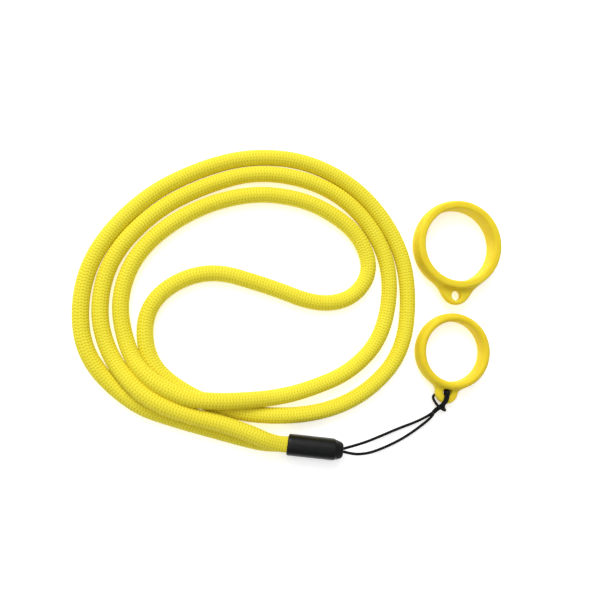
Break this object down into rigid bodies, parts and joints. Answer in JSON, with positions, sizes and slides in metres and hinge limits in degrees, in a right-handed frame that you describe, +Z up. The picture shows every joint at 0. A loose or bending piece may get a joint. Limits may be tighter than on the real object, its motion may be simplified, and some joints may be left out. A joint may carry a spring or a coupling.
{
  "type": "neck lanyard with silicone holder rings",
  "caption": "Braided neck cord coiled up, with a crimped black ferrule, a thin string hitched to a lugged silicone holder ring, and a larger spare ring.",
  "frame": {"origin": "on the surface the part lies on, in the middle of the footprint of the ferrule and the two rings", "axes": "+Z up from that surface and along the rings' bores, +X from the coiled cord towards the rings, and the rings' lugs point roughly along -Y"},
  "size_m": [0.1621, 0.1162, 0.0125],
  "materials": {
    "cord_braid": "round braided polyester, lemon yellow",
    "cord_filling": "loose white yarn filling",
    "ferrule_black": "moulded black plastic, half gloss",
    "crimp_metal": "plain crimped steel band, hidden in the ferrule",
    "string_black": "thin black braided string",
    "ring_silicone": "moulded golden yellow silicone, satin"
  },
  "bodies": {
    "lanyard": {"neck_cord_sheath": "cord_braid", "neck_cord_core": "cord_filling", "neck_cord_tail_lower": "cord_braid", "neck_cord_tail_upper": "cord_braid", "ferrule_sleeve": "ferrule_black", "crimp_band": "crimp_metal", "string_stopper_knot": "string_black", "string_stub": "string_black"},
    "string": {"string_leg_far": "string_black", "string_leg_near": "string_black"},
    "hitch": {"string_hitch": "string_black"},
    "holder": {"holder_ring": "ring_silicone"},
    "spare": {"spare_ring": "ring_silicone"}
  },
  "joints": [
    {"name": "string_lift", "type": "hinge", "parent": "lanyard", "child": "string", "pos_m": [-0.02142, -0.04594, 0.0042], "axis": [0.329, -0.9443, 0], "range_deg": [0, 80]},
    {"name": "hitch_fold", "type": "hinge", "parent": "string", "child": "hitch", "pos_m": [0.01487, -0.0332, 0.0022], "axis": [0.8, -0.6, 0], "range_deg": [0, 90]},
    {"name": "ring_swing", "type": "hinge", "parent": "hitch", "child": "holder", "pos_m": [0.02002, -0.02495, 0.0037], "axis": [0, 0, 1], "range_deg": [-60, 4]},
    {"name": "spare_lift", "type": "slide", "parent": "lanyard", "child": "spare", "axis": [0, 0, 1], "range_m": [0, 0.04]}
  ]
}
